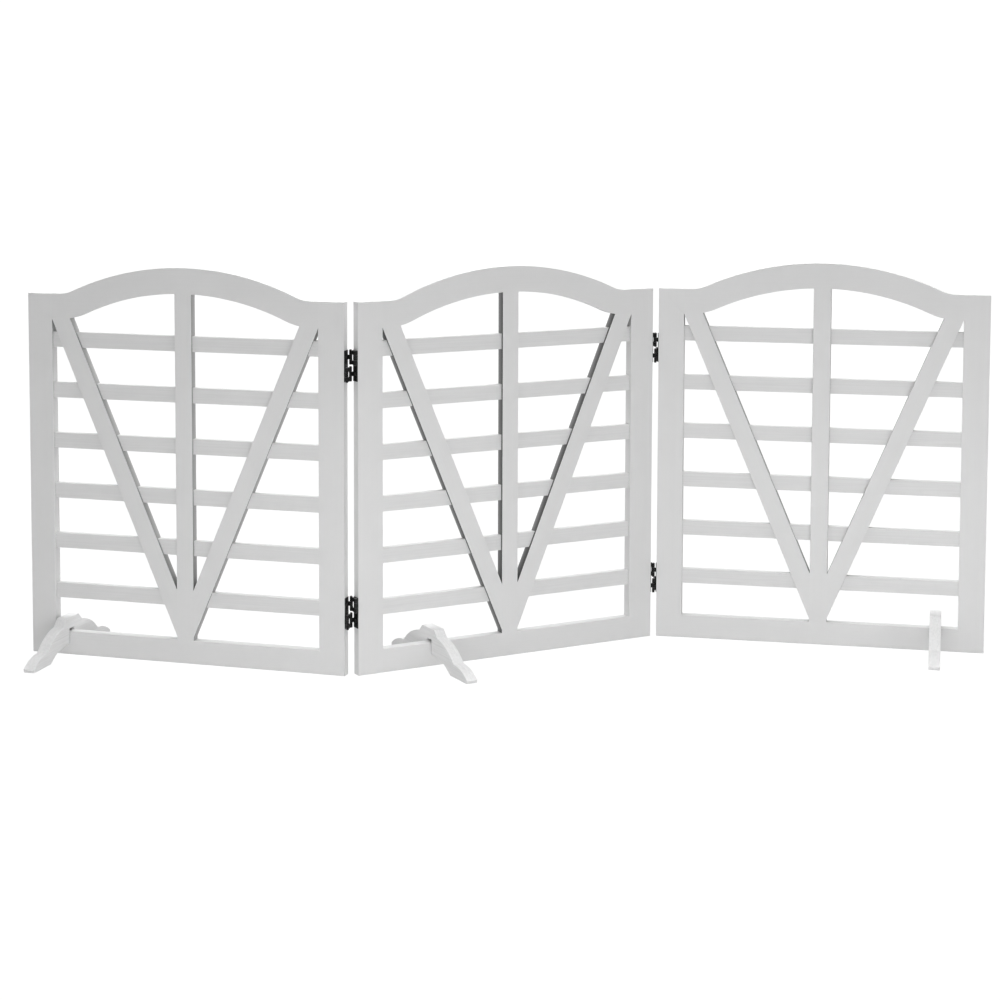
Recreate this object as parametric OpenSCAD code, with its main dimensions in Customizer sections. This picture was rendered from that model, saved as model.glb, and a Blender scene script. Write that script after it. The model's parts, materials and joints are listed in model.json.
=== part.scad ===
// Free-standing pet gate: three arched wooden panels joined by double-action hinges,
// each panel steadied by a scroll-profile foot that straddles its bottom rail.
//
// Frame: +X along the gate, +Y to the back, +Z up. The origin is the centre of the
// footprint on the floor. A panel's own frame starts at its left front bottom corner:
// x along the panel, y through its thickness from the front face, z up.

/* [Panel] */
// Width of one panel
panel_w = 510; // [420:5:640]
// Height of a panel at its shoulders
side_h = 556; // [540:2:760]
// Thickness of the panel frame
panel_t = 15; // [14:0.5:20]
// Width of the two upright stiles
stile_w = 40; // [34:1:48]
// Height of the bottom rail
rail_h = 36; // [30:1:45]
// Width of the arched top rail, measured square to its edge
band_w = 39; // [34:1:48]

/* [Arch] */
// Height of the crown above the shoulders
crown_rise = 44; // [36:1:50]
// Radius of the arch
arch_r = 435; // [420:5:520]
// Radius of the hollow between a shoulder and the arch
hollow_r = 60; // [20:5:90]

/* [Infill] */
// Width of the centre bar
bar_w = 27; // [20:1:34]
// Width of the two legs of the V
brace_w = 28; // [20:1:34]
// Number of slats
slat_count = 6; // [3:1:6]
// Height of one slat
slat_h = 23.6; // [18:0.2:28]
// Thickness of one slat
slat_t = 10; // [8:0.5:10]
// How far the slats lie behind the front face
slat_recess = 4; // [2:0.5:4]
// Underside of the lowest slat above the floor
slat_z0 = 87; // [80:1:95]
// Distance from one slat to the next
slat_pitch = 77.4; // [60:0.2:78]

/* [Feet] */
// Thickness of a foot, along the rail
foot_t = 17.5; // [15:0.5:22]
// Half the length of a foot, across the panel
foot_reach = 128; // [120:1:150]
// Height of a foot
foot_h = 57; // [54:0.5:62]
// Play between a foot's slot and the rail
foot_play = 0.5; // [0.3:0.1:1]
// How far the middle of a foot sits behind the middle of its slot
foot_set = 4; // [0:0.5:6]
// Centre of the left panel's foot, from that panel's left edge
left_foot_x = 54; // [50:1:200]
// Centre of the middle panel's foot, from that panel's left edge
middle_foot_x = 129; // [50:1:200]
// Centre of the right panel's foot, from that panel's right edge
right_foot_x = 74; // [50:1:200]

/* [Hinges] */
// Gap between two panels when they stand in line
gap = 9.5; // [9:0.5:12]
// Height of a hinge
hinge_h = 46; // [42:1:60]
// Hinge centres from the floor and from the shoulders
hinge_inset = 94; // [70:1:120]
// Thickness of a hinge leaf
leaf_t = 1.2; // [1:0.1:1.5]
// Thickness of a link plate
link_t = 1.6; // [1.2:0.1:1.8]
// Radius of a hinge pin
pin_r = 1.2; // [1:0.1:1.3]
// Outside radius of a knuckle
knuckle_r = 2.1; // [2:0.1:2.4]
// How far a pin's axis stands beyond the panel's face
pin_out = 0.5; // [0.3:0.1:1]

/* [Stance] */
// Angle of the middle panel to the gate's length
middle_yaw = 28.4; // [0:0.1:45]
// Fold between the left and middle panels, a ridge towards the front
left_fold = 44.1; // [0:0.1:90]
// Fold between the middle and right panels, a valley towards the front
right_fold = 40.2; // [0:0.1:90]

/* [Hidden] */
$fn = 48;
PANELS = ["left", "middle", "right"];
SIDES = ["left", "right"];

crown_h = side_h + crown_rise;
eps = 1;                       // overshoot of a cut beyond the face it leaves by
joint_play = 0.15;             // play between a tenon and its mortise
rail_tenon = 12;               // length of the rails' tenons
slat_tenon = 8;                // length of the slats' tenons
bar_tenon = 8;                 // length of the centre bar's tenons
tenon_inset = 6;               // shoulder above and below, or beside, a tenon
bar_sink = 0.5;                // how far the bar's top tenon starts below the arch's underside
tenon_t = panel_t * 0.4;
tenon_y = (panel_t - tenon_t) / 2;
brace_lap = 2;                 // how far a leg of the V runs behind the bar's edge
bar_x = (panel_w - bar_w) / 2;

pin_front = -pin_out;
pin_back = panel_t + pin_out;
bore_play = 0.06;              // running clearance of a leaf's knuckle on its pin
pin_hold = 0.02;               // clearance of a link's knuckle on its pin
half_gap = 2;                  // first knuckle above or below the hinge's middle
third = (hinge_h / 2 - half_gap) / 3;
knuckle_play = 0.3;            // gap between one knuckle and the next
knuckle_h = third - knuckle_play;
leaf_edge = 0.5;               // leaf set back from both faces of the panel
arm_t = 1.4;                   // thickness of the arm between a leaf and its knuckle
web_gap = 0.4;                 // between a link's web and a leaf's knuckle
web_edge = knuckle_r - pin_out + web_gap;
window_r = 3.4;                // half the width of a link's window
window_h = 10.4;
head_r = 1.9;
head_h = 0.6;
head_gap = 0.2;                // between a pin's head and the knuckle
screw_r = 1.4;
screw_head_r = 2.8;
screw_length = 14;
screw_play = 0.1;
screw_z = half_gap + 1.5 * third;
hinge_levels = [hinge_inset, side_h - hinge_inset];

slot_w = panel_t + 2 * foot_play;
slot_top = rail_h + 4;
foot_xs = [left_foot_x, middle_foot_x, panel_w - right_foot_x];

slat_names = [for (k = [1:slat_count]) str("slat_", k)];
wood_names = concat(
    ["left_stile", "right_stile", "top_rail", "bottom_rail"],
    ["centre_bar", "left_brace", "right_brace"],
    slat_names
);
hinge_names = ["outer_leaves", "middle_leaves", "top_links", "bottom_links", "top_pins", "bottom_pins"];

// ---- Curves ----

// Points on a circle about c from angle a0 up to, but not including, angle a1
function arc(c, r, a0, a1, n) =
    [for (i = [0:n - 1]) let (a = a0 + (a1 - a0) * i / n) c + r * [cos(a), sin(a)]];

// Points on an arc that bulges by sag from the chord p-q, without q itself
function bulge(p, q, sag, n) =
    let (
        chord = norm(q - p),
        r = chord * chord / (8 * sag) + sag / 2,
        along = (q - p) / chord,
        out = [-along.y, along.x],
        c = (p + q) / 2 - out * (r - sag),
        a = atan2(p.y - c.y, p.x - c.x),
        sweep = 2 * asin(chord / (2 * r))
    )
    arc(c, r, a, a - sweep, n);

// The top outline: shoulder, hollow, arch, hollow, shoulder, lowered by drop
function outline(drop) =
    let (
        arch_c = [panel_w / 2, crown_h - arch_r],
        hollow_z = side_h + hollow_r,
        reach = arch_r + hollow_r,
        lean = asin((hollow_z - arch_c.y) / reach),
        run = reach * cos(lean)
    )
    concat(
        [[0, side_h - drop]],
        arc([arch_c.x - run, hollow_z], hollow_r + drop, -90, -lean, 8),
        arc(arch_c, arch_r - drop, 180 - lean, lean, 32),
        arc([arch_c.x + run, hollow_z], hollow_r + drop, -180 + lean, -90, 8),
        [[arch_c.x + run, side_h - drop], [panel_w, side_h - drop]]
    );

// Everything below the outline
module below_outline(drop) {
    polygon(concat([[0, 0]], outline(drop), [[panel_w, 0]]));
}

// Stands a drawing up in a panel's frame, from depth y0 back by depth
module upright(depth, y0 = 0) {
    translate([0, y0 + depth, 0])
    rotate([90, 0, 0])
    linear_extrude(depth) children();
}

// The opening inside the frame of a panel
module opening() {
    intersection() {
        below_outline(band_w);
        translate([stile_w, rail_h]) square([panel_w - 2 * stile_w, crown_h]);
    }
}

// ---- Panel pieces, in the panel's frame ----

// A block that a tenon fills, or with play the mortise that takes it
module tenon(x, z, length, height, play = 0) {
    translate([x - play, tenon_y - play, z - play])
    cube([length + 2 * play, tenon_t + 2 * play, height + 2 * play]);
}

module rail_tenons(play = 0) {
    for (x = [stile_w - rail_tenon, panel_w - stile_w]) {
        tenon(x, tenon_inset, rail_tenon, rail_h - 2 * tenon_inset, play);
        tenon(x, side_h - band_w + tenon_inset, rail_tenon, band_w - 2 * tenon_inset, play);
    }
}

module bar_tenons(play = 0) {
    for (z = [rail_h - bar_tenon, crown_h - band_w - bar_sink]) {
        tenon(bar_x + tenon_inset, z, bar_w - 2 * tenon_inset, bar_tenon + bar_sink, play);
    }
}

// The space of every slat, grown by play and run out through the back if open
module slat_space(play, back) {
    for (k = [0:slat_count - 1]) {
        translate([stile_w - slat_tenon - play, slat_recess, slat_z0 + k * slat_pitch - play])
        cube([panel_w - 2 * stile_w + 2 * (slat_tenon + play), back - slat_recess, slat_h + 2 * play]);
    }
}

module pilot_holes(x) {
    for (z = hinge_levels) {
        for (s = [-1, 1]) {
            translate([x, panel_t / 2, z + s * screw_z])
            rotate([0, 90, 0])
            cylinder(r = screw_r + screw_play / 2, h = 2 * (screw_length + 1), center = true);
        }
    }
}

module stile(right, drilled) {
    color("gainsboro")
    difference() {
        translate([right ? panel_w - stile_w : 0, 0, 0]) cube([stile_w, panel_t, side_h]);
        rail_tenons(joint_play);
        slat_space(joint_play, slat_recess + slat_t + joint_play);
        if (drilled) {
            pilot_holes(right ? panel_w : 0);
        }
    }
}

module top_rail() {
    color("gainsboro") {
        difference() {
            upright(panel_t) intersection() {
                difference() {
                    below_outline(0);
                    below_outline(band_w);
                }
                translate([stile_w, 0]) square([panel_w - 2 * stile_w, crown_h + eps]);
            }
            bar_tenons(joint_play);
        }
        intersection() {
            rail_tenons();
            translate([0, 0, crown_h / 2]) cube([panel_w, panel_t, crown_h]);
        }
    }
}

module bottom_rail() {
    color("gainsboro") {
        difference() {
            translate([stile_w, 0, 0]) cube([panel_w - 2 * stile_w, panel_t, rail_h]);
            bar_tenons(joint_play);
        }
        intersection() {
            rail_tenons();
            cube([panel_w, panel_t, rail_h]);
        }
    }
}

module centre_bar() {
    color("gainsboro") {
        difference() {
            upright(panel_t) intersection() {
                opening();
                translate([bar_x, 0]) square([bar_w, crown_h]);
            }
            slat_space(joint_play, panel_t + eps);
        }
        bar_tenons();
    }
}

// One leg of the V: its outer edge runs from the corner under the shoulder down to the bar
module brace(right) {
    top = [stile_w, side_h - band_w];
    foot = [bar_x + brace_lap, rail_h];
    fall = foot - top;
    overrun = 4 * panel_t;
    color("gainsboro")
    difference() {
        translate([right ? panel_w : 0, 0, 0]) mirror([right ? 1 : 0, 0, 0])
        upright(panel_t) intersection() {
            opening();
            translate(top) rotate(atan2(fall.y, fall.x))
            translate([-overrun, 0]) square([norm(fall) + 2 * overrun, brace_w]);
            square([bar_x, crown_h]);
        }
        slat_space(joint_play, panel_t + eps);
    }
}

module slat(k) {
    color("whitesmoke")
    translate([stile_w - slat_tenon, slat_recess, slat_z0 + k * slat_pitch])
    cube([panel_w - 2 * stile_w + 2 * slat_tenon, slat_t, slat_h]);
}

// ---- Foot, its slot from y = -foot_play to panel_t + foot_play ----

// Half the foot's outline, from the top block down to the tip and back along the underside
half_foot = concat(
    [[foot_reach * 0.15, foot_h]],
    bulge([foot_reach * 0.24, foot_h - 11], [foot_reach * 0.655, foot_h - 37], foot_reach * 0.04, 10),
    bulge([foot_reach * 0.66, foot_h - 37.5], [foot_reach, 5], foot_reach * 0.03, 8),
    [[foot_reach, 5], [foot_reach - 1, 0], [foot_reach * 0.58, 0]],
    [[foot_reach * 0.42, 11.5], [foot_reach * 0.3, 14.5], [foot_reach * 0.17, 17]]
);
foot_outline = concat(
    half_foot,
    [for (i = [len(half_foot) - 1:-1:0]) [-half_foot[i].x, half_foot[i].y]]
);

module foot() {
    color("whitesmoke")
    difference() {
        translate([-foot_t / 2, panel_t / 2 + foot_set, 0])
        rotate([90, 0, 90])
        linear_extrude(foot_t) polygon(foot_outline);
        translate([-foot_t / 2 - eps, -foot_play, -eps]) cube([foot_t + 2 * eps, slot_w, slot_top + eps]);
    }
}

// ---- Hinge pieces: x across the gap, y back from the front faces, z = 0 at the middle ----

// Leaf on the panel left of the gap. Its upper arm reaches the back pin, its lower arm the front pin
module leaf() {
    arms = [[1, pin_back, pin_back - knuckle_r], [-1, pin_front, pin_front + knuckle_r - arm_t]];
    color("black")
    difference() {
        union() {
            translate([0, leaf_edge, -hinge_h / 2]) cube([leaf_t, panel_t - 2 * leaf_edge, hinge_h]);
            for (a = arms) {
                translate([0, a[2], a[0] * screw_z - knuckle_h / 2]) cube([gap / 2, arm_t, knuckle_h]);
                translate([gap / 2, a[1], a[0] * screw_z - knuckle_h / 2]) cylinder(r = knuckle_r, h = knuckle_h);
            }
        }
        for (a = arms) {
            translate([gap / 2, a[1], a[0] * screw_z])
            cylinder(r = pin_r + bore_play, h = knuckle_h + eps, center = true);
            translate([0, panel_t / 2, a[0] * screw_z])
            rotate([0, 90, 0])
            screw_shape(screw_play);
        }
    }
}

// Shank along -z, countersunk head ending at z = leaf_t
module screw_shape(play) {
    translate([0, 0, -screw_length]) cylinder(r = screw_r + play, h = screw_length + leaf_t);
    cylinder(r1 = screw_r + play, r2 = screw_head_r + play, h = leaf_t);
}

// Turns a hinge piece half a turn, so that it faces the other way across the gap
module facing_left() {
    translate([gap, panel_t, 0]) rotate(180) children();
}

// The round-ended window of a link, seen along x
module link_window() {
    for (s = [-1, 1]) {
        translate([0, panel_t / 2, screw_z + s * (window_h / 2 - window_r)])
        rotate([0, 90, 0])
        cylinder(r = window_r, h = gap);
    }
    translate([0, panel_t / 2 - window_r, screw_z - window_h / 2 + window_r])
    cube([gap, 2 * window_r, window_h - 2 * window_r]);
}

// The link of the upper half: a plate with two knuckles on the front pin and two on the back one
module top_link() {
    color("black")
    difference() {
        union() {
            translate([(gap - link_t) / 2, web_edge, half_gap])
            cube([link_t, panel_t - 2 * web_edge, 3 * third]);
            for (z = [half_gap + knuckle_play / 2, half_gap + 2 * third + knuckle_play / 2]) {
                translate([(gap - link_t) / 2, pin_front, z])
                cube([link_t, pin_back - pin_front, knuckle_h]);
                for (y = [pin_front, pin_back]) {
                    translate([gap / 2, y, z]) cylinder(r = knuckle_r, h = knuckle_h);
                }
            }
        }
        link_window();
        for (y = [pin_front, pin_back]) {
            translate([gap / 2, y, 0]) cylinder(r = pin_r + pin_hold, h = hinge_h);
        }
    }
}

// The lower half's link is the upper one turned over
module bottom_link() {
    mirror([0, 0, 1]) top_link();
}

// A pin with a head at each end, through the three knuckles of the upper half. An open pin
// is two short rivets, one in each of the link's knuckles, which leave the leaf's knuckle free
module pin(open) {
    low = half_gap - head_gap;
    high = hinge_h / 2 + head_gap;
    rivet = third + head_gap - knuckle_play / 2;
    color("black") {
        if (open) {
            translate([0, 0, low]) cylinder(r = pin_r, h = rivet);
            translate([0, 0, high - rivet]) cylinder(r = pin_r, h = rivet);
        } else {
            translate([0, 0, low]) cylinder(r = pin_r, h = high - low);
        }
        for (z = [low - head_h, high]) {
            translate([0, 0, z]) cylinder(r = head_r, h = head_h);
        }
    }
}

// Copies a piece to both hinges of a gap
module at_both_hinges() {
    for (z = hinge_levels) {
        translate([0, 0, z]) children();
    }
}

// The two pins of a link: front and back, either of which may be open
module pin_pair(front_open, back_open) {
    translate([gap / 2, pin_front, 0]) pin(front_open);
    translate([gap / 2, pin_back, 0]) pin(back_open);
}

// The screws of both hinges on a panel's right edge, in the gap's frame
module edge_screws() {
    color("dimgray")
    for (z = hinge_levels) {
        for (s = [-1, 1]) {
            translate([0, panel_t / 2, z + s * screw_z])
            rotate([0, 90, 0])
            screw_shape(0);
        }
    }
}

// ---- Places ----

// A point turned about the origin, and a point turned about a pivot
function turn(p, a) = [p.x * cos(a) - p.y * sin(a), p.x * sin(a) + p.y * cos(a)];
function swing(p, pivot, a) = pivot + turn(p - pivot, a);
left_pivot = [-gap / 2, pin_back];
right_pivot = [panel_w + gap / 2, pin_front];
function panel_point(i, p) =
    i == 0 ? swing(p - [panel_w + gap, 0], left_pivot, -left_fold)
    : i == 1 ? p
    : swing(p + [panel_w + gap, 0], right_pivot, -right_fold);
corners = [
    for (i = [0:2])
        for (x = [0, panel_w])
            for (y = [0, panel_t])
                turn(panel_point(i, [x, y]), middle_yaw),
    for (i = [0:2])
        for (x = [-foot_t / 2, foot_t / 2])
            for (y = [-foot_reach, foot_reach])
                turn(panel_point(i, [foot_xs[i] + x, panel_t / 2 + foot_set + y]), middle_yaw)
];
low = [min([for (c = corners) c.x]), min([for (c = corners) c.y])];
high = [max([for (c = corners) c.x]), max([for (c = corners) c.y])];

module in_middle_panel() {
    translate([-(low.x + high.x) / 2, -(low.y + high.y) / 2, 0]) rotate(middle_yaw) children();
}

module swung(pivot, fold) {
    translate(pivot) rotate(-fold) translate(-pivot) children();
}

module in_left_gap() {
    in_middle_panel() swung(left_pivot, left_fold) translate([-gap, 0, 0]) children();
}

module in_right_gap() {
    in_middle_panel() swung(right_pivot, right_fold) translate([panel_w, 0, 0]) children();
}

// Both hinges at the middle panel's left edge, and at its right edge
module in_left_edge() {
    in_middle_panel() translate([-gap, 0, 0]) at_both_hinges() children();
}

module in_right_edge() {
    in_middle_panel() translate([panel_w, 0, 0]) at_both_hinges() children();
}

module in_panel(i) {
    if (i == 0) {
        in_left_gap() translate([-panel_w, 0, 0]) children();
    } else if (i == 1) {
        in_middle_panel() children();
    } else {
        in_right_gap() translate([gap, 0, 0]) children();
    }
}

// ---- The gate ----

for (i = [0:2]) {
    name = str(PANELS[i], "_panel_");
    in_panel(i) stile(false, i > 0);
    in_panel(i) stile(true, i < 2);
    in_panel(i) top_rail();
    in_panel(i) bottom_rail();
    in_panel(i) centre_bar();
    in_panel(i) brace(false);
    in_panel(i) brace(true);
    for (k = [0:slat_count - 1]) {
        in_panel(i) slat(k);
    }
    union() {
        in_panel(i) translate([foot_xs[i], 0, 0]) foot();
    }
}

// The bottom links move with the outer panels and the top links with the middle panel. The
// outer panel's knuckle on a top link is the open one of each hinge's four
in_left_gap() at_both_hinges() leaf();  // left_hinge_outer_leaves
in_left_gap() at_both_hinges() bottom_link();  // left_hinge_bottom_links
union() {  // left_hinge_bottom_pins
    in_left_gap() at_both_hinges() mirror([0, 0, 1]) pin_pair(false, false);
}
in_left_edge() facing_left() leaf();  // left_hinge_middle_leaves
in_left_edge() top_link();  // left_hinge_top_links
in_left_edge() pin_pair(false, true);  // left_hinge_top_pins

in_right_edge() leaf();  // right_hinge_middle_leaves
in_right_edge() top_link();  // right_hinge_top_links
in_right_edge() pin_pair(true, false);  // right_hinge_top_pins
union() {  // right_hinge_outer_leaves
    in_right_gap() at_both_hinges() facing_left() leaf();
}
in_right_gap() at_both_hinges() bottom_link();  // right_hinge_bottom_links
union() {  // right_hinge_bottom_pins
    in_right_gap() at_both_hinges() mirror([0, 0, 1]) pin_pair(false, false);
}

in_left_gap() edge_screws();  // left_panel_hinge_screws
union() {  // middle_panel_hinge_screws
    in_middle_panel() translate([panel_w, 0, 0]) edge_screws();
    in_middle_panel() translate([-gap, 0, 0]) facing_left() edge_screws();
}
in_right_gap() facing_left() edge_screws();  // right_panel_hinge_screws
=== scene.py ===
import json
import math

import bmesh
import bpy
import numpy as np
from mathutils import Matrix, Vector
from mathutils.bvhtree import BVHTree
from mathutils.kdtree import KDTree


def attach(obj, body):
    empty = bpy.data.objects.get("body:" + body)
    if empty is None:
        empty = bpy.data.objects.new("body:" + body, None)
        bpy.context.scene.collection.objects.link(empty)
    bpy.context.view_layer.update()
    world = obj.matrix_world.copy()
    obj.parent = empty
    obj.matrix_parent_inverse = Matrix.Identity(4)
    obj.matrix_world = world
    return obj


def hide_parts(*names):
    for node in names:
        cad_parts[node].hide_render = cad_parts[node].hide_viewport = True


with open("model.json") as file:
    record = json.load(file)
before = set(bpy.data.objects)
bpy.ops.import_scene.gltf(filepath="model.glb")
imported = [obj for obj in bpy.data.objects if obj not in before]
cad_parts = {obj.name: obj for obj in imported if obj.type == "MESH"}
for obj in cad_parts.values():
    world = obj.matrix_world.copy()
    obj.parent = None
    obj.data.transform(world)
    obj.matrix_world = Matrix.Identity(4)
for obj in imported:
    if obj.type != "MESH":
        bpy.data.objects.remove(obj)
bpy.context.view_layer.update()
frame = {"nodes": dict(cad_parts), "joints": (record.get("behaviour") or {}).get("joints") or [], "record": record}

# Lengths are in metres, in the frame's own coordinates.

PANELS = ["left", "middle", "right"]
SLOTS = {row["node"]: row["material_slot"] for row in frame["record"]["subparts"]}

# ---- The panels' own frames ----


def points_of(node):
    """The corners of a CAD node, as rows of x, y, z."""
    return np.array([v.co for v in frame["nodes"][node].data.vertices])


def panel_frame(panel):
    """A panel's frame: x along it, y back, z up, its origin on the floor at the left front corner."""
    axis = next(j["axis"] for j in frame["joints"] if j["name"] == f"{panel}_foot_slide")
    along = Vector((axis[0], axis[1], 0)).normalized()
    back = Vector((-along.y, along.x, 0))
    corners = points_of(f"{panel}_panel_left_stile")
    low_x = (corners @ np.array(along)).min()
    low_y = (corners @ np.array(back)).min()
    matrix = Matrix((along, back, (0, 0, 1))).transposed().to_4x4()
    matrix.translation = along * low_x + back * low_y
    return matrix


FRAMES = {panel: panel_frame(panel) for panel in PANELS}


def in_panel(points, panel):
    """The same points, in the panel's own frame."""
    inverse = np.array(FRAMES[panel].inverted())
    return points @ inverse[:3, :3].T + inverse[:3, 3]


PANEL_T = in_panel(points_of("middle_panel_right_stile"), "middle")[:, 1].max()

# ---- Meshes ----

WELD = 0.00001            # corners closer than this become one
FLAT = math.radians(0.4)  # faces that meet at less than this become one
SHARP = math.radians(25)  # an edge that turns more than this is an arris


def copy_of(node):
    """A welded bmesh of a CAD node, its flat faces whole again."""
    bm = bmesh.new()
    bm.from_mesh(frame["nodes"][node].data)
    bmesh.ops.remove_doubles(bm, verts=bm.verts, dist=WELD)
    bmesh.ops.dissolve_limit(bm, angle_limit=FLAT, verts=bm.verts, edges=bm.edges)
    return bm


def is_arris(edge):
    return len(edge.link_faces) == 2 and edge.is_convex and edge.calc_face_angle(0) > SHARP


# ---- Arcs, which the frame draws as straight pieces ----

CURVE_LOW = math.radians(1.5)   # the least that one piece of an arc turns into the next
CURVE_HIGH = math.radians(24)   # the most
SAME_LENGTH = 0.02              # how much two pieces of one arc differ in length, as a share
CURVE_CUTS = 3                  # new corners on each piece
NEAREST = 6                     # pieces searched for the one that a new corner is on
ON_LINE = WELD / 10             # how close to a piece a corner on it must be


def bend_at(edge, vert):
    """How far an arris turns into the next piece of its arc at this end, and the way the arc bulges."""
    here = (edge.other_vert(vert).co - vert.co).normalized()
    length = edge.calc_length()
    for other in vert.link_edges:
        if other is edge or abs(other.calc_length() - length) > SAME_LENGTH * length:
            continue
        there = (vert.co - other.other_vert(vert).co).normalized()
        turn = here.angle(there)
        if CURVE_LOW < turn < CURVE_HIGH:
            inward = here - there
            inward -= here * inward.dot(here)
            return turn, -inward.normalized()
    return None


def curve_pieces(bm):
    """The arrises that stand for part of an arc: (edge, the angle it spans, the way it bulges)."""
    found = []
    for edge in [e for e in bm.edges if is_arris(e)]:
        bend = bend_at(edge, edge.verts[0]) or bend_at(edge, edge.verts[1])
        if bend:
            found.append((edge, *bend))
    return found


def rise_on_arc(point, start, end, turn, out):
    """The move that puts a point of a straight piece on its arc, or None if it isn't on the piece."""
    chord = end - start
    t = (point - start).dot(chord) / chord.length_squared
    if not 0 < t < 1 or (start.lerp(end, t) - point).length >= ON_LINE:
        return None
    radius = chord.length / 2 / math.sin(turn / 2)
    across = (t - 0.5) * chord.length
    return out * (math.sqrt(radius ** 2 - across ** 2) - radius * math.cos(turn / 2))


def round_curves(bm):
    """Bends the straight pieces of each arc, so that curves look smooth close up."""
    curves = curve_pieces(bm)
    pieces = [(e.verts[0].co.copy(), e.verts[1].co.copy(), turn, out) for e, turn, out in curves]
    new = bmesh.ops.subdivide_edges(bm, edges=[c[0] for c in curves], cuts=CURVE_CUTS)["geom_inner"]
    middles = KDTree(max(1, len(pieces)))
    for i, (start, end, _, _) in enumerate(pieces):
        middles.insert((start + end) / 2, i)
    middles.balance()
    for vert in [v for v in new if isinstance(v, bmesh.types.BMVert)]:
        for _, i, _ in middles.find_n(vert.co, NEAREST):
            rise = rise_on_arc(vert.co, *pieces[i])
            if rise is not None:
                vert.co += rise
                break


# ---- Eased arrises, left sharp where a neighbour is glued on ----

ARRIS = 0.0008            # eased edge of the painted wood
STEEL_ARRIS = 0.0003      # broken edge of the stamped steel
ARRIS_STEPS = 3
ROUND = 0.5               # bevel profile of a circle
CONTACT = 0.00025         # wood closer than this to its neighbour is a glued joint
CONTACT_STEP = 0.001      # distance between the places where contact is looked for
NO_CUT = 3 * ARRIS        # no arris is cut closer than this to its ends
PROBES = (0.2, 0.5, 0.8)  # places along an arris that tell whether a neighbour touches it
FEW_PROBES = 1            # an arris touched at no more places than this is free


def tree_of(nodes):
    """One search tree over several CAD nodes, or nothing if there are none."""
    if not nodes:
        return None
    corners, faces = [], []
    for node in nodes:
        mesh = frame["nodes"][node].data
        first = len(corners)
        corners += [v.co.copy() for v in mesh.vertices]
        faces += [[first + i for i in p.vertices] for p in mesh.polygons]
    return BVHTree.FromPolygons(corners, faces)


def touches(tree, point):
    return tree is not None and tree.find_nearest(point, CONTACT)[0] is not None


def split_at_joints(bm, tree):
    """Cuts each arris where a neighbouring piece starts or ends against it."""
    for edge in [e for e in bm.edges if is_arris(e)]:
        a, b = edge.verts
        length = edge.calc_length()
        steps = max(2, int(length / CONTACT_STEP))
        states = [touches(tree, a.co.lerp(b.co, (i + 0.5) / steps)) for i in range(steps)]
        cuts = [i / steps for i in range(1, steps) if states[i] != states[i - 1]]
        cuts = [c for c in cuts if NO_CUT < c * length < length - NO_CUT]
        done = 0.0
        start, rest = a, edge
        for c in cuts:
            rest, new = bmesh.utils.edge_split(rest, start, (c - done) / (1 - done))
            rest = next(e for e in new.link_edges if e.other_vert(new) is b)
            start, done = new, c


def free_arrises(bm, tree):
    """The arrises that no neighbour touches along most of their length."""
    found = []
    for edge in [e for e in bm.edges if is_arris(e)]:
        a, b = edge.verts
        near = [touches(tree, a.co.lerp(b.co, t)) for t in PROBES]
        if sum(near) <= FEW_PROBES:
            found.append(edge)
    return found


def ease(bm, edges, width):
    """Rounds the arrises. The rounded faces take the second material."""
    bmesh.ops.bevel(
        bm, geom=edges, offset=width, offset_type="OFFSET", segments=ARRIS_STEPS, profile=ROUND,
        affect="EDGES", clamp_overlap=True, material=1,
    )


# ---- Objects, and the coordinates that their materials use ----

SMOOTH = math.radians(35)  # shading is smooth across edges that turn less than this
SEED_STEP = 0.37           # shift of the grain from one piece to the next
SIDEWAYS = 0.85            # how squarely a brace's or bar's side face must face along the panel to take painted shade
LIT_SIDE = 0.60            # share of the painted shade that side faces turned to the lit right keep


def piece_from(bm, name):
    """An object of the bmesh, shaded smooth across its rounded arrises."""
    mesh = bpy.data.meshes.new(name)
    bm.to_mesh(mesh)
    bm.free()
    mesh.shade_smooth()
    mesh.set_sharp_from_angle(angle=SMOOTH)
    piece = bpy.data.objects.new(name, mesh)
    bpy.context.scene.collection.objects.link(piece)
    weighted = piece.modifiers.new("weighted", "WEIGHTED_NORMAL")
    weighted.keep_sharp = True
    return piece


def corners_of(piece):
    return np.array([v.co for v in piece.data.vertices])


def write_attribute(mesh, name, values):
    attribute = mesh.attributes.new(name, "FLOAT_VECTOR", "POINT")
    attribute.data.foreach_set("vector", np.asarray(values, np.float32).ravel())


def grain_coordinates(points, seed):
    """Coordinates with x along the piece's length, shifted for each piece."""
    centre = points.mean(0)
    axes = np.linalg.eigh(np.cov((points - centre).T))[1][:, ::-1]
    return (points - centre) @ axes + SEED_STEP * seed


def mark_shaded_sides(piece, panel, thin):
    """Marks a thin piece's side faces for painted shade, and writes each corner's place in its panel."""
    along = FRAMES[panel].col[0].to_3d()
    mesh = piece.data
    attribute = mesh.attributes.new("side", "FLOAT", "FACE")
    for face in mesh.polygons:
        facing = face.normal.dot(along)
        marked = thin and abs(facing) > SIDEWAYS
        attribute.data[face.index].value = (LIT_SIDE if facing > 0 else 1.0) if marked else 0.0
    write_attribute(mesh, "panel", in_panel(corners_of(piece), panel))


# ---- Materials ----

WHITE = (1, 1, 1, 1)
NOISE_LOW = 0.3           # ramps and maps of a noise run between these values of it
NOISE_HIGH = 0.7


def grey(value):
    return (value, value, value)


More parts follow.
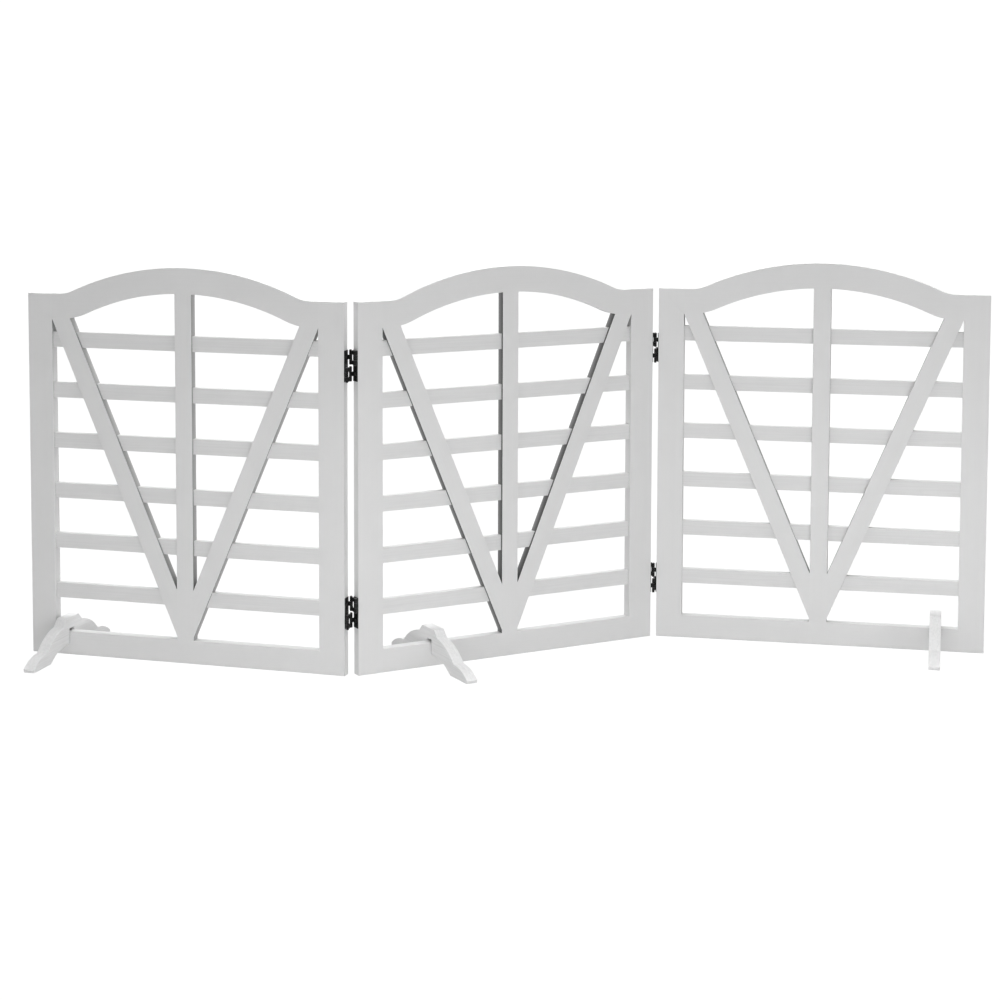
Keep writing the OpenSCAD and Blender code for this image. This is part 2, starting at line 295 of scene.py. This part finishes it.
class Nodes:
    """A small helper that adds and links shader nodes of one material."""

    def __init__(self, name):
        self.material = bpy.data.materials.new(name)
        self.material.use_nodes = True
        self.tree = self.material.node_tree
        self.shader = self.tree.nodes["Principled BSDF"]

    def add(self, kind, inputs=None, **settings):
        node = self.tree.nodes.new(kind)
        for key, value in settings.items():
            setattr(node, key, value)
        for key, value in (inputs or {}).items():
            self.put(node.inputs[key], value)
        return node

    def put(self, socket, value):
        if isinstance(value, bpy.types.NodeSocket):
            self.tree.links.new(value, socket)
        else:
            socket.default_value = value

    def attribute(self, name):
        return self.add("ShaderNodeAttribute", attribute_name=name)

    def scaled(self, vector, scale):
        return self.add("ShaderNodeMapping", {"Vector": vector, "Scale": scale}).outputs["Vector"]

    def noise(self, vector, scale, detail, rough):
        inputs = {"Vector": vector, "Scale": scale, "Detail": detail, "Roughness": rough}
        return self.add("ShaderNodeTexNoise", inputs).outputs["Fac"]

    def ramp(self, value, low, high):
        """A ramp between two stops, each a place and a grey tone."""
        node = self.add("ShaderNodeValToRGB", {"Fac": value})
        for i, (place, tone) in enumerate((low, high)):
            node.color_ramp.elements[i].position = place
            node.color_ramp.elements[i].color = (*grey(tone), 1)
        return node.outputs["Color"]

    def mix(self, factor, a, b, blend="MIX"):
        node = self.add("ShaderNodeMix", data_type="RGBA", blend_type=blend)
        self.put(node.inputs["Factor"], factor)
        self.put(node.inputs["A"], a)
        self.put(node.inputs["B"], b)
        return node.outputs["Result"]

    def times(self, a, b):
        return self.mix(1.0, a, b, "MULTIPLY")

    def map(self, value, low, high, out_low, out_high):
        inputs = {"Value": value, "From Min": low, "From Max": high, "To Min": out_low, "To Max": out_high}
        return self.add("ShaderNodeMapRange", inputs).outputs["Result"]

    def bump(self, height, strength, distance, normal=None):
        inputs = {"Height": height, "Strength": strength, "Distance": distance}
        if normal is not None:
            inputs["Normal"] = normal
        return self.add("ShaderNodeBump", inputs).outputs["Normal"]


# ---- White satin paint ----

GRAIN_SCALE = (9, 420, 420)    # long along the piece, fine across it
PORE_SCALE = (40, 1500, 1500)
GRAIN_NOISE = (1.0, 6.0, 0.6)  # scale, detail and roughness of the noise
PORE_NOISE = (1.0, 3.0, 0.7)
CLOUD_NOISE = (14.0, 3.0, 0.55)
PEEL_NOISE = (900.0, 2.0, 0.55)
STREAK_END = 0.62              # grain noise above this leaves no streak
MOTTLE = 0.975                 # tone left in the darkest clouds
ARRIS_HIGHLIGHT_TONE = 0.97               # tone towards which the arrises are lightened, as a painted highlight
SATIN = (0.38, 0.5)            # roughness, from cloud to cloud
PAINT_IOR = 1.48
GRAIN_BUMP = (0.25, 0.0002)    # strength, to which the streaks' is added, and height
PORE_BUMP = (0.1, 0.0001)
PEEL_BUMP = (0.06, 0.0001)
SIDE_SHADE_FRONT = 0.08              # tone that painted shade leaves on a marked side face at the panel's front
SIDE_SHADE_BACK = 0.40               # the same at its back
CORNER_SHADE_DEPTH = 0.012           # reach of the painted shade in tight inner corners
CORNER_SHADE_TONE = 0.5              # tone that painted shade leaves in the tightest corner
CORNER_SHADE_OPEN = 0.45             # openness above which no shade is painted
CORNER_RAYS = 4


def painted_side_shade(n):
    """Painted shade on marked side faces, deepest at the panel's front."""
    place = n.attribute("panel").outputs["Vector"]
    depth = n.add("ShaderNodeSeparateXYZ", {0: place}).outputs["Y"]
    tone = n.ramp(n.map(depth, 0.0, PANEL_T, 0.0, 1.0), (0.0, SIDE_SHADE_FRONT), (1.0, SIDE_SHADE_BACK))
    return n.mix(n.attribute("side").outputs["Fac"], WHITE, tone)


def painted_corner_shade(n):
    """Painted shade in tight inner corners, darker where less of the surroundings is open."""
    inputs = {"Distance": CORNER_SHADE_DEPTH}
    openness = n.add("ShaderNodeAmbientOcclusion", inputs, samples=CORNER_RAYS).outputs["AO"]
    return n.ramp(openness, (0.0, CORNER_SHADE_TONE), (CORNER_SHADE_OPEN, 1.0))


def paint_tone(n, tone, streaks, arris_highlight, long_grain, cloud):
    """The paint's tone, with streaks along the grain, faint clouds and a painted highlight that lightens the
    arrises.
    """
    base = n.times((*grey(tone), 1), n.ramp(long_grain, (NOISE_LOW, 1 - streaks), (STREAK_END, 1.0)))
    base = n.times(base, n.ramp(cloud, (NOISE_LOW, MOTTLE), (NOISE_HIGH, 1.0)))
    # lightens the arrises as a painted highlight
    if arris_highlight:
        base = n.mix(arris_highlight, base, (*grey(ARRIS_HIGHLIGHT_TONE), 1))
    return base


def painted_wood(name, tone, streaks, arris_highlight):
    """White satin paint over wood: faint grain along the piece, mottled sheen, painted shade in tight corners and
    on marked side faces, and a painted highlight on the arrises.
    """
    n = Nodes(name)
    grain = n.attribute("grain").outputs["Vector"]
    long_grain = n.noise(n.scaled(grain, GRAIN_SCALE), *GRAIN_NOISE)
    pores = n.noise(n.scaled(grain, PORE_SCALE), *PORE_NOISE)
    cloud = n.noise(grain, *CLOUD_NOISE)
    peel = n.noise(grain, *PEEL_NOISE)
    base = paint_tone(n, tone, streaks, arris_highlight, long_grain, cloud)
    # painted shade on marked side faces and in tight corners, multiplied into the paint's tone
    base = n.times(n.times(base, painted_side_shade(n)), painted_corner_shade(n))
    n.put(n.shader.inputs["Base Color"], base)
    n.put(n.shader.inputs["Roughness"], n.map(cloud, NOISE_LOW, NOISE_HIGH, *SATIN))
    n.shader.inputs["IOR"].default_value = PAINT_IOR
    normal = n.bump(long_grain, GRAIN_BUMP[0] + streaks, GRAIN_BUMP[1])
    normal = n.bump(pores, PORE_BUMP[0] + streaks, PORE_BUMP[1], normal)
    n.put(n.shader.inputs["Normal"], n.bump(peel, *PEEL_BUMP, normal))
    return n.material


# ---- Black enamelled steel ----

SCRATCH_SCALE = (300, 5000, 900)
SCRATCH_NOISE = (1.0, 4.0, 0.7)
STEEL_CLOUD_NOISE = (260.0, 4.0, 0.55)
STEEL_DARK = 0.6               # share of the tone left in the darkest clouds
SCRATCH_ROUGH = 0.16           # roughness that scratches add
ENAMEL_SPECULAR = 0.28
STEEL_CLOUD_BUMP = (0.12, 0.0001)
SCRATCH_BUMP = (0.1, 0.00005)


def black_steel(name, tone, rough, metal):
    """Black enamel on stamped steel, mottled and lightly scratched."""
    n = Nodes(name)
    place = n.attribute("grain").outputs["Vector"]
    cloud = n.noise(place, *STEEL_CLOUD_NOISE)
    scratch = n.noise(n.scaled(place, SCRATCH_SCALE), *SCRATCH_NOISE)
    base = n.ramp(cloud, (NOISE_LOW, tone * STEEL_DARK), (NOISE_HIGH, tone))
    n.put(n.shader.inputs["Base Color"], base)
    roughness = n.map(scratch, NOISE_LOW, NOISE_HIGH, rough, rough + SCRATCH_ROUGH)
    n.put(n.shader.inputs["Roughness"], roughness)
    n.shader.inputs["Metallic"].default_value = metal
    n.shader.inputs["Specular IOR Level"].default_value = ENAMEL_SPECULAR
    normal = n.bump(cloud, *STEEL_CLOUD_BUMP)
    n.put(n.shader.inputs["Normal"], n.bump(scratch, *SCRATCH_BUMP, normal))
    return n.material


# ---- The slots' materials ----

# Tone, streaks and painted highlight of the paint, on a slot's faces and on its eased arrises, whose lighter tone
# is a painted highlight too
PAINTS = {
    "frame_paint": [(0.84, 0.012, 0.0), (0.87, 0.01, 0.15)],
    "slat_paint": [(0.85, 0.05, 0.0), (0.88, 0.04, 0.2)],
    "foot_paint": [(0.95, 0.1, 0.0), (0.94, 0.07, 0.2)],
}
# Tone, roughness and bare metal of the steel, on a slot's faces and on its arrises, whose lighter tone is a
# painted glint
STEELS = {
    "hinge_steel": [(0.007, 0.2, 0.0), (0.2, 0.3, 0.7)],
    "pin_steel": [(0.02, 0.2, 0.2), (0.25, 0.28, 0.8)],
    "screw_steel": [(0.14, 0.26, 0.7), (0.35, 0.3, 0.9)],
}


def slot_materials(make, slot, face, arris):
    """The material of a slot's faces and that of its arrises."""
    return [make(slot, *face), make(slot.split("_")[0] + "_arris", *arris)]


MATERIALS = {slot: slot_materials(painted_wood, slot, *looks) for slot, looks in PAINTS.items()}
MATERIALS |= {slot: slot_materials(black_steel, slot, *looks) for slot, looks in STEELS.items()}

# ---- Pieces ----

PANEL_SEEDS = 20          # grain seeds kept for each panel
FOOT_SEED = 70            # grain seed of the first foot


def body_holding(node):
    bodies = frame["record"]["behaviour"]["bodies"]
    return next(body for body, nodes in bodies.items() if node in nodes)


def hand_over(piece, node):
    """The piece stands for its CAD node: same body, same slot, same place."""
    slot = SLOTS[node]
    for material in MATERIALS[slot]:
        piece.data.materials.append(material)
    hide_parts(node)
    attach(piece, body_holding(node))


def finish_wood(node, panel, neighbours, seed):
    """A painted piece of wood, its free arrises eased."""
    tree = tree_of(neighbours)
    bm = copy_of(node)
    round_curves(bm)
    split_at_joints(bm, tree)
    ease(bm, free_arrises(bm, tree), ARRIS)
    piece = piece_from(bm, node + "_painted")
    write_attribute(piece.data, "grain", grain_coordinates(corners_of(piece), seed))
    mark_shaded_sides(piece, panel, node.endswith(("bar", "brace")))
    hand_over(piece, node)


def finish_steel(node, seed):
    """The black steel of a node, its arrises broken."""
    bm = copy_of(node)
    ease(bm, [e for e in bm.edges if is_arris(e)], STEEL_ARRIS)
    piece = piece_from(bm, node + "_black")
    write_attribute(piece.data, "grain", corners_of(piece) + SEED_STEP * seed)
    hand_over(piece, node)


def build_gate():
    for i, panel in enumerate(PANELS):
        wood = [n for n in SLOTS if n.startswith(panel + "_panel") and not n.endswith("screws")]
        for seed, node in enumerate(wood):
            others = [other for other in wood if other != node]
            finish_wood(node, panel, others, seed + PANEL_SEEDS * i)
        finish_wood(panel + "_foot", panel, [], FOOT_SEED + i)
    steel = [n for n in SLOTS if "hinge" in n]
    for seed, node in enumerate(steel):
        finish_steel(node, seed)


# ---- Camera ----

CAMERA_SIDE = 0.2084      # to the right of the middle panel's left front corner
CAMERA_DISTANCE = 3.1633  # in front of that corner
CAMERA_HEIGHT = 0.8664
CAMERA_PITCH = math.radians(4.73)
CAMERA_ROLL = math.radians(0.18)
SENSOR = 36.0             # millimetres, as is the lens
LENS = 78.32
SHIFT_X = -0.0005         # shares of the picture's width
SHIFT_Y = -0.2303


def camera_matrix():
    """Looks along +y and a little down, from in front of the middle panel."""
    corner = FRAMES["middle"].translation
    forward = Vector((0, math.cos(CAMERA_PITCH), -math.sin(CAMERA_PITCH)))
    up = Vector((0, math.sin(CAMERA_PITCH), math.cos(CAMERA_PITCH)))
    right = Vector((1, 0, 0))
    cos, sin = math.cos(CAMERA_ROLL), math.sin(CAMERA_ROLL)
    matrix = Matrix((right * cos + up * sin, up * cos - right * sin, -forward)).transposed().to_4x4()
    matrix.translation = (corner.x + CAMERA_SIDE, corner.y - CAMERA_DISTANCE, CAMERA_HEIGHT)
    return matrix


def add_camera():
    data = bpy.data.cameras.new("camera")
    data.sensor_width = SENSOR
    data.lens = LENS
    data.shift_x = SHIFT_X
    data.shift_y = SHIFT_Y
    camera = bpy.data.objects.new("camera", data)
    camera.matrix_world = camera_matrix()
    bpy.context.scene.collection.objects.link(camera)
    bpy.context.scene.camera = camera


# ---- Floor, sky and softboxes ----

SEEN_GLOW = 1.05          # the floor and the sky, as the camera sees them
FLOOR_GLOW = 0.53         # the floor, as the gate is lit by it
SKY_GLOW = 0.31           # the sky, as the gate is lit by it
FLOOR_SIZE = 40.0
FLOOR_CELLS = 8
FLOOR_DROP = 0.0002       # keeps the floor clear of the soles
# Name, place, target, width, height and power in watts
SOFTBOXES = [
    ("front_low", (0.25, -1.05, 0.02), (0.25, 0.1, 0.12), 2.9, 0.12, 8.6),
    ("front_fill", (0.4, -0.95, 0.02), (0.4, 0.12, 0.08), 0.8, 0.08, 0.9),
    ("front_high", (-0.3, -2.0, 2.2), (0, 0, 0.2), 2.4, 0.8, 3),
    ("top", (0, 0.4, 2.6), (0, 0, 0.3), 3.0, 1.6, 52),
    ("back", (0, 2.6, 1.6), (0, 0, 0.3), 4.0, 1.6, 30),
    ("left_card", (-1.9, -1.6, 0.5), (0, 0, 0.3), 0.06, 1.4, 0.6),
    ("right_card", (1.9, -1.6, 0.5), (0, 0, 0.3), 0.06, 1.4, 1.0),
]


def white_to_camera(tree, output_kind, glow_kind, felt):
    """Glows white to the camera, and lights the gate only as softly as felt says."""
    tree.nodes.clear()
    output = tree.nodes.new(output_kind)
    path = tree.nodes.new("ShaderNodeLightPath")
    mix = tree.nodes.new("ShaderNodeMixShader")
    tree.links.new(path.outputs["Is Camera Ray"], mix.inputs["Fac"])
    for socket, strength in ((1, felt), (2, SEEN_GLOW)):
        glow = tree.nodes.new(glow_kind)
        glow.inputs["Color"].default_value = WHITE
        glow.inputs["Strength"].default_value = strength
        tree.links.new(glow.outputs[0], mix.inputs[socket])
    tree.links.new(mix.outputs["Shader"], output.inputs["Surface"])


def add_floor():
    bm = bmesh.new()
    bmesh.ops.create_grid(bm, x_segments=FLOOR_CELLS, y_segments=FLOOR_CELLS, size=FLOOR_SIZE / 2)
    mesh = bpy.data.meshes.new("floor")
    bm.to_mesh(mesh)
    bm.free()
    floor = bpy.data.objects.new("floor", mesh)
    floor.location.z = -FLOOR_DROP
    bpy.context.scene.collection.objects.link(floor)
    material = bpy.data.materials.new("pale_floor")
    material.use_nodes = True
    white_to_camera(material.node_tree, "ShaderNodeOutputMaterial", "ShaderNodeEmission", FLOOR_GLOW)
    mesh.materials.append(material)


def add_sky():
    world = bpy.data.worlds.new("studio")
    bpy.context.scene.world = world
    world.use_nodes = True
    white_to_camera(world.node_tree, "ShaderNodeOutputWorld", "ShaderNodeBackground", SKY_GLOW)


def add_softbox(name, place, target, width, height, power):
    data = bpy.data.lights.new(name, "AREA")
    data.shape = "RECTANGLE"
    data.size = width
    data.size_y = height
    data.energy = power
    light = bpy.data.objects.new(name, data)
    light.location = place
    light.rotation_mode = "QUATERNION"
    light.rotation_quaternion = (Vector(target) - Vector(place)).to_track_quat("-Z", "Y")
    light.visible_camera = False
    bpy.context.scene.collection.objects.link(light)


# ---- The scene ----

build_gate()
add_floor()
add_sky()
for softbox in SOFTBOXES:
    add_softbox(*softbox)
add_camera()
bpy.context.scene.view_settings.view_transform = "Standard"
